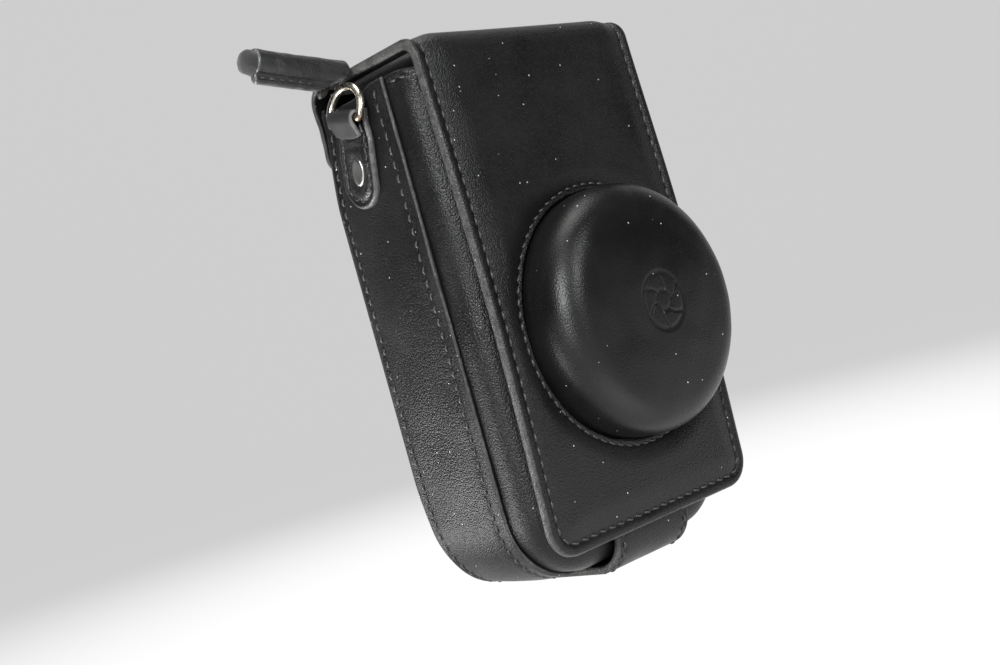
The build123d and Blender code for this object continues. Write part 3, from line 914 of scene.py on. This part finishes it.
def make_back():
    """Back of the pouch, turned round the sides behind the side strip."""
    side_run = back_high[1] - BACK_EDGE_R - GUSSET_BACK + 0.7
    start = 0.35
    outer = start + BACK_EDGE_R * (1 - pi / 2) - side_run
    place = wrap_place(back_high[1], -1, BACK_EDGE_R, start)
    top = HINGE_Z - 3.4

    def edge(u, v):
        return top - v

    def height(u, v):
        return 0.12 * waves(u, v, 24, 41) * smooth((pouch_frame(u, v)[0] - 3) / 6)

    outline = u_line(outer, top)
    boundary = np.vstack([outline, line(outline[-1], outline[0], 60)[1:-1]])
    rings = [u_line(outer + run, top - 0.3, 1.1)[1:-1] for run in np.arange(0.5, 5.5, 0.5)]
    piece = panel("back_leather", boundary, [], rings, 1.8, 0.5, edge, height, place, LEATHER, 0.45,
                  NAPPA, "case_body")
    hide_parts("back_cover")


# ---- Closure strap and tongue -------------------------------------------------
def make_closure():
    """One strap from under the pouch, round the bend and up behind the flap."""
    half, thick, radius = tongue_high[0], strap_high[2], TONGUE_BEND_R
    bend_y = tongue_low[1] + radius
    flat_run = strap_high[1] - bend_y
    bend_run = radius * pi / 2
    total = flat_run + bend_run + tongue_high[2] - radius

    def place(u, v, w):
        angle = np.clip((v - flat_run) / radius, 0, pi / 2)
        past = np.clip(v - flat_run - bend_run, 0, None)
        y = strap_high[1] - np.minimum(v, flat_run) - (radius + w) * np.sin(angle)
        z = radius - (radius + w) * np.cos(angle) + past
        return stack([u, y, z])

    edge, outline = strap_shape(half, total, 5.5, 12, 0.8)

    def height(u, v):
        d = edge(u, v)
        wave = 0.06 * waves(u, v, 12, 51) * smooth((v - flat_run) / 6)
        return -0.22 * bell((d - 1.7) / 0.4) + wave

    rings = [outline(inset) for inset in (0.12, 0.35, 0.8, 1.3, 1.7, 2.1, 2.7)]
    piece = panel("closure_strap_leather", outline(0), [], rings, 1.1, 3.2, edge, height, place,
                  thick - 0.04, 0.6, NAPPA)
    row = stitch_row("closure_strap_stitches", outline(1.7), place, height, THREAD, None, pitch=2.8,
                     closed=True)
    for made in (piece, row):
        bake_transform(made)
    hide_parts("closure_strap", "tongue_outer", "tongue_lining")


# ---- Belt loop ----------------------------------------------------------------
def make_belt_loop():
    """Strap on the back, stitched down at both ends."""
    half, thick = belt_high[0], 1.8
    rise = belt_high[1] - belt_low[1] - thick
    low_z, total = belt_low[2], belt_high[2] - belt_low[2]
    foot, slope = 8.5, 10.0

    def place(u, v, w):
        lift = rise * smooth((v - foot) / slope) * smooth((total - foot - v) / slope)
        flat = stack([u, np.full(len(u), belt_low[1]), low_z + v])
        return bulged(flat) + stack([0 * u, thick + lift + w, 0 * u])

    edge, outline = strap_shape(half, total, 4, 10, 0.9)

    def height(u, v):
        d = edge(u, v)
        cross = np.minimum(np.abs(v - foot + 1.6), np.abs(v - total + foot - 1.6))
        groove = np.maximum(bell((d - 2) / 0.4), bell(cross / 0.4) * (d > 2))
        return -0.22 * groove + 0.05 * waves(u, v, 15, 61)

    rings = [outline(inset) for inset in (0.12, 0.35, 0.8, 1.4, 2.0, 2.6, 3.4)]
    piece = panel("belt_loop_leather", outline(0), [], rings, 1.1, 4.0, edge, height, place, thick,
                  0.6, NAPPA, "case_body")
    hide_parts("belt_loop")
    stitch_row("belt_loop_stitches", outline(2.0), place, height, THREAD, "case_body", closed=True)
    for name, v in (("belt_foot_stitches", foot - 1.6), ("belt_head_stitches", total - foot + 1.6)):
        stitch_row(name, line((-half + 2.6, v), (half - 2.6, v), 40), place, height, THREAD,
                   "case_body")


# ---- Strap ring tabs ----------------------------------------------------------
TAB_HALF, TAB_THICK, TAB_LOW, TAB_HIGH = 5.8, 1.6, 95.2, 118.0  # heights before the tilt
RIVET_Z = RING_Z - 12.3
BORE_R, LEAF, LEAF_DROP = 1.0, 1.05, 3.7
RING_AXIS_X = half_pouch + TAB_THICK + BORE_R + LEAF


def tilted(points, sign):
    """Lays a ring tab's points on their side of the pouch, leaning forward."""
    x, y, z = points.T
    y, z = y - RING_Y, z - RING_Z
    return stack([sign * x, RING_Y + y * cos(RING_TILT) - z * sin(RING_TILT),
                  RING_Z + y * sin(RING_TILT) + z * cos(RING_TILT)])


def make_ring_side(side, sign):
    """Stitched tab with its rivet, and the loop folded round the ring."""
    total = TAB_HIGH - TAB_LOW
    rivet_v = RIVET_Z - TAB_LOW

    def half_width(v):
        return TAB_HALF - 1.3 * smooth((v - total + 8) / 6)

    def place(u, v, w):
        x = half_pouch + 0.3 + TAB_THICK + w
        x = x + 0.35 * np.sin(pi * np.clip(v / total, 0, 1)) - 0.3
        u = u * half_width(v) / TAB_HALF
        return tilted(stack([x, RING_Y + u, TAB_LOW + v]), sign)

    def edge(u, v):
        return rounded_edge(u, v, TAB_HALF, 0.0, TAB_HALF - 0.05)

    def height(u, v):
        d = edge(u, v)
        rim = 0.22 * bell((d - 0.8) / 0.7) - 0.32 * bell((d - 1.7) / 0.4)
        middle = 0.3 * smooth((d - 1.9) / 1.2)
        seat = -0.55 * bell(np.hypot(u / 2.9, (v - rivet_v) / 4.1) ** 2) * smooth((d - 1.9) / 1.0)
        dent = -0.25 * bell((v - rivet_v - 5.6) / 0.8) * bell(u / 3.0)
        uneven = 0.1 * waves(u, v, 5, 71) + 0.05 * np.cos(2 * pi * v / 2.1) * (
            bell((d - 1.7) / 0.9))
        return rim + middle + seat + dent + uneven

    def outline(inset):
        h = TAB_HALF - inset
        shape = np.vstack([line((-h, total), (-h, TAB_HALF), 30),
                           arc((0, TAB_HALF), h, 180, 360, 30)[1:],
                           line((h, TAB_HALF), (h, total), 30)[1:]])
        return resample(shape, 0.42)

    top = line((TAB_HALF, total), (-TAB_HALF, total), 26)[1:-1]
    rings = [outline(inset)[1:-1] for inset in (0.12, 0.35, 0.7, 1.1, 1.4, 1.7, 2.0, 2.4, 3.0)]
    tab = panel(f"{side}_ring_tab_leather", np.vstack([outline(0), top]), [], rings, 0.5, 3.3, edge,
                height, place, TAB_THICK, 0.45, TAB_LEATHER, "case_body")
    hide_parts(f"{side}_ring_tab")
    row = outline(1.7)
    row = row[row[:, 1] < total - 5.0]
    stitch_row(f"{side}_ring_tab_stitches", row, place, height, THREAD, "case_body", pitch=2.1,
               radius=0.2)
    make_ring_loop(side, sign)
    make_rivet(side, sign)


def make_ring_loop(side, sign):
    """Leather folded over the ring's bar, its outer leaf lying on the tab."""
    first, last = radians(200), radians(-35)
    fold_run, half = BORE_R * (first - last), 4.45
    total = fold_run + LEAF_DROP

    def sag(u):
        return 0.75 * (1 - (u / half) ** 2)

    def place(u, v, w):
        angle = first - np.minimum(v, fold_run) / BORE_R
        past = np.clip(v - fold_run, 0, None)
        reach = BORE_R + LEAF + w
        x = RING_AXIS_X + reach * np.cos(angle) + past * sin(last) * 0.9
        z = RING_Z + reach * np.sin(angle) - past * cos(last)
        return tilted(stack([x, RING_Y + u, z]), sign)

    def edge(u, v):
        return np.minimum(np.minimum(half - np.abs(u), v), total + sag(u) - v)

    def height(u, v):
        sides = half - np.abs(u)
        return 0.07 * waves(u, v, 6, 73) - 0.12 * bell((sides - 0.9) / 0.3)

    us = line((-half, 0), (half, 0), 26)[:, 0]
    ends = stack([us, total + sag(us)])
    rise = line((0, 0), (0, 1), 30)[:, 1]
    boundary = np.vstack([
        stack([np.full(30, -half), rise * ends[0, 1]]), ends[1:-1],
        stack([np.full(30, half), rise[::-1] * ends[-1, 1]]),
        stack([us[::-1], np.zeros(26)])[1:-1],
    ])
    inner = [stack([np.full(24, s * (half - i)), line((0, 0.6), (0, total - 0.3), 24)[:, 1]])
             for s in (-1, 1) for i in (0.15, 0.4, 0.9)]
    inner += [stack([us[2:-2], total + sag(us[2:-2]) - i]) for i in (0.15, 0.4)]
    loop = panel(f"{side}_ring_loop_leather", boundary, [], inner, 0.45, 1.0, edge, height, place,
                 LEAF, 0.35, LOOP_LEATHER, "case_body")
    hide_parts(f"{side}_ring_loop")


def make_rivet(side, sign):
    """Oval metal rivet with a softly rounded, slightly dished head."""
    half_y, half_z, count = 2.0, 3.2, 56
    face_x = half_pouch + TAB_THICK + 0.05
    angles = np.linspace(0, 2 * pi, count, endpoint=False)
    profile = [(0.9, -0.4), (1.0, -0.05), (1.0, 0.16), (0.94, 0.31), (0.82, 0.37), (0.62, 0.33),
               (0.4, 0.27), (0.2, 0.24), (0.05, 0.23)]
    sections = [
        tilted(stack([np.full(count, face_x + rise),
                                RING_Y + size * half_y * np.cos(angles),
                                RIVET_Z + size * half_z * np.sin(angles)]), sign)
        for size, rise in profile
    ]
    piece = loft(f"{side}_rivet", sections, RIVET_METAL, "case_body")
    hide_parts(f"{side}_ring_rivet")


# ---- Rolled pull --------------------------------------------------------------
PULL_Y, PULL_TILT, PULL_ROOT_X, PULL_AXIS_Z, PULL_LEN = 4.7, radians(11.0), -34.9, 126.0, 24.0
PULL_R, FLANGE, FLANGE_DROP = 3.1, 0.95, 4.8


def pull_point(along, y, z):
    """A point of the rolled grip: along its axis, and across it."""
    return (PULL_ROOT_X - along * cos(PULL_TILT) + z * sin(PULL_TILT), PULL_Y + y,
            PULL_AXIS_Z + along * sin(PULL_TILT) + z * cos(PULL_TILT))


def make_pull():
    """Leather rolled round a core, its seam flange, the core's end and the tongue."""
    stations = 90
    angles = np.linspace(-pi / 2 + 0.38, 1.5 * pi - 0.38, 60)
    roll = stack([PULL_R * np.cos(angles), PULL_R * np.sin(angles)])
    fin_z = np.linspace(roll[-1, 1] - 0.35, -FLANGE_DROP + FLANGE, 9)
    section = np.vstack([
        roll, stack([np.full(9, -FLANGE), fin_z]),
        arc((0, -FLANGE_DROP + FLANGE), FLANGE, 180, 360, 9),
        stack([np.full(9, FLANGE), fin_z[::-1]]),
    ])
    sections, wear = [], []
    for along in np.linspace(0, 1, stations) * PULL_LEN:
        end = min(along, PULL_LEN - along)
        shrink = 1 - 0.1 * (1 - min(end / 0.5, 1)) ** 2
        y, z = section[:, 0] * shrink, section[:, 1] * shrink
        where = stack([np.full(len(y), along * 0.8), y * 1.5, z])
        folds = 0.09 * ripple(where, 6.5, 81) + 0.05 * ripple(where, 2.4, 82)
        crease = 0.22 * bell((z + 2.9) / 0.45)
        out = 1 + (folds - crease) / np.maximum(np.hypot(y, z), 1.2)
        root = np.clip((-1.2 - z) / 4.2, 0, 1) * 9.0 * max(0.0, 1 - along / 9.0)
        sections.append([pull_point(along + r, a, b) for a, b, r in zip(y * out, z * out, root)])
        wear.append(np.clip(bell(end / 0.45) + bell((section[:, 1] + FLANGE_DROP) / 0.4), 0, 1))
    piece = loft("pull_roll", sections, GLOSSY, "pull", np.concatenate(wear))
    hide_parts("pull_sleeve")

    def seam_place(u, v, w):
        return np.array([pull_point(a, -FLANGE - b, -3.5 + c) for a, c, b in zip(u, v, w)])

    stitch_row("pull_stitches", line((8.6, 0), (PULL_LEN - 0.8, 0), 30), seam_place,
               lambda u, v: 0 * u, THREAD, "pull", pitch=2.2, radius=0.2)
    make_pull_core()
    make_pull_tongue()


def make_pull_core():
    """Domed matte end of the core, standing out of the roll."""
    core, core_r = [], 2.75
    turn = np.linspace(0, 2 * pi, 48, endpoint=False)
    for out, size in ((-3.0, 0.85), (-0.6, 0.97), (0.8, 1.0), (1.6, 0.96), (2.2, 0.84),
                      (2.65, 0.62), (2.85, 0.34), (2.9, 0.08)):
        radii = core_r * size * (1 + 0.03 * np.sin(3 * turn + out) + 0.02 * np.sin(7 * turn))
        core.append([pull_point(PULL_LEN + out, r * cos(a), r * sin(a))
                     for a, r in zip(turn, radii)])
    piece = loft("pull_core_end", core, CORE, "pull")
    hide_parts("pull_core")


def make_pull_tongue():
    """Strip from the flap's edge that turns down behind the roll's flange."""
    low, high = box_mm("pull_tongue")
    turn = np.linspace(0, 2 * pi, 40, endpoint=False)
    across = np.sign(np.cos(turn)) * np.abs(np.cos(turn)) ** 0.5
    upright = np.sign(np.sin(turn)) * np.abs(np.sin(turn)) ** 0.5
    mid_y, sections = (PULL_Y + PULL_R + 0.1 + high[1]) / 2, []
    for t in np.linspace(0, 1, 30):
        fall = smooth((t - 0.35) / 0.6)
        y = mid_y * (1 - fall) + (PULL_Y + FLANGE + 0.7) * fall
        half_y, half_z = 2.1 * (1 - fall) + 0.65 * fall, 0.55 + 1.0 * fall
        z = high[2] - 0.6 - 2.2 * fall
        x = high[0] + 2.5 + (low[0] - high[0] - 2.5) * t
        sections.append(stack([np.full(40, x), y + half_y * across, z + half_z * upright]))
    piece = loft("pull_tongue_leather", sections, GLOSSY, "pull")
    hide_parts("pull_tongue", "pull_anchor")


# ---- CAD nodes that stay ------------------------------------------------------
def dress_cad():
    """Gives every CAD node that still shows its own material."""
    kinds = {
        SUEDE_CAD: ("back_lining", "gusset_lining", "front_lining", "dome_lining",
                    "bottom_pad"),
        FIBRE: ("back_board", "front_board", "gusset_stiffener", "flap_top_board"),
        FORMER: ("dome_former",),
        MAGNET_METAL: ("tongue_magnet",),
        RING_METAL: ("left_strap_ring", "right_strap_ring"),
    }
    for material, names in kinds.items():
        for name in names:
            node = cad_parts[name]
            for spot in node.material_slots:
                spot.material = material


# ---- Stage, lights and camera -------------------------------------------------
PAPER_Z = -0.012  # the case stands a little above the paper, clear of the opened closure
POOL_AT = (0.03, 0.03, PAPER_Z)  # middle of the white light on the paper, under the case
# Brighter spots that light the case's lower left and its underside: place, reach, strength.
PATCHES = (((-0.14, 0.09, PAPER_Z), 0.1, 16.0), ((-0.02, -0.085, PAPER_Z), 0.06, 1.2))


def glowing_paper():
    """Paper lit from within as painted light: a glowing white pool round the case, light grey
    further off.
    """
    material, tree, shader = nodes_of("glowing_paper")
    where = wire(tree, "ShaderNodeTexCoord").outputs["Object"]

    def pool(centre, near, far, inside, outside):
        off = wire(tree, "ShaderNodeVectorMath", {0: where, 1: centre}, operation="DISTANCE")
        return ramp(tree, off.outputs["Value"], near, far, inside, outside,
                    interpolation_type="SMOOTHSTEP")

    # painted light: the paper glows, brightest in a pool under the case, and the patches glow
    # brighter still to light the case's lower left and underside
    total = pool(POOL_AT, 0.1, 0.5, 1.0, 0.6)
    for centre, reach, strength in PATCHES:
        total = maths(tree, "ADD", total, pool(centre, 0.25 * reach, reach, strength, 0.0))
    tree.links.new(total, shader.inputs["Emission Strength"])
    shader.inputs["Emission Color"].default_value = (1, 1, 1, 1)
    shader.inputs["Base Color"].default_value = grey(0.03)
    shader.inputs["Roughness"].default_value = 0.9
    shader.inputs["Specular IOR Level"].default_value = 0.0
    return material


def make_stage():
    """A white table that curves up into the backdrop."""
    facing = Vector((0.67, 0.742, 0)).normalized()
    across = Vector((facing.y, -facing.x, 0))
    reach, rise, bend = 0.75, 1.6, 0.45
    profile = [(ahead, PAPER_Z) for ahead in np.linspace(-1.2, reach, 8)]
    profile += [(reach + bend * sin(a), PAPER_Z + bend * (1 - cos(a)))
                for a in np.radians(np.arange(6, 91, 6))]
    profile.append((reach + bend, rise))
    sides = np.linspace(-2.0, 2.0, 7)
    verts = [((facing * ahead + across * s).x / MM, (facing * ahead + across * s).y / MM, up / MM)
             for ahead, up in profile for s in sides]
    faces = grid(len(profile), len(sides), closed=False)
    make("backdrop", verts, faces, glowing_paper())


def area_light(name, place, size, power, tint=(1, 1, 1)):
    data = bpy.data.lights.new(name, "AREA")
    data.shape = "RECTANGLE"
    data.size, data.size_y = size
    data.energy = power
    data.color = tint
    light = bpy.data.objects.new(name, data)
    light.location = place
    aim = Vector((0, 0, 0.06)) - Vector(place)
    light.rotation_euler = aim.to_track_quat("-Z", "Y").to_euler()
    bpy.context.scene.collection.objects.link(light)


def make_lights():
    world = bpy.data.worlds.new("studio")
    world.use_nodes = True
    world.node_tree.nodes["Background"].inputs["Color"].default_value = (0.93, 0.96, 1.0, 1)
    world.node_tree.nodes["Background"].inputs["Strength"].default_value = 0.02
    bpy.context.scene.world = world
    area_light("top_box", (0.0, 0.0, 0.9), (0.6, 0.6), 5.0, (1, 0.99, 0.97))
    area_light("front_box", (-0.04, -0.82, 0.45), (0.1, 0.4), 3.8, (0.98, 0.99, 1))
    area_light("left_box", (-0.72, -0.52, 0.42), (0.16, 0.6), 11.0, (0.98, 0.99, 1))
    scene = bpy.context.scene
    scene.view_settings.view_transform = "Standard"
    scene.view_settings.look = "None"


def make_camera():
    """The viewpoint of the reference: level line of sight, rolled a little."""
    forward = Vector((0.67005, 0.74231, -0.00207)).normalized()
    right = forward.cross(Vector((0.20091, -0.17867, 0.96318))).normalized()
    up = right.cross(forward).normalized()
    data = bpy.data.cameras.new("camera")
    data.sensor_width, data.lens = 36.0, 50.79
    data.clip_start, data.clip_end = 0.01, 20
    camera = bpy.data.objects.new("camera", data)
    turn = Matrix((right, up, -forward)).transposed().to_4x4()
    camera.matrix_world = Matrix.Translation((-0.2358, -0.2455, 0.0608)) @ turn
    bpy.context.scene.collection.objects.link(camera)
    bpy.context.scene.camera = camera


make_flap()
make_hinge()
make_dome()
make_front()
make_gusset()
make_back()
make_closure()
make_belt_loop()
make_ring_side("left", -1)
make_ring_side("right", 1)
make_pull()
dress_cad()
make_stage()
make_lights()
make_camera()
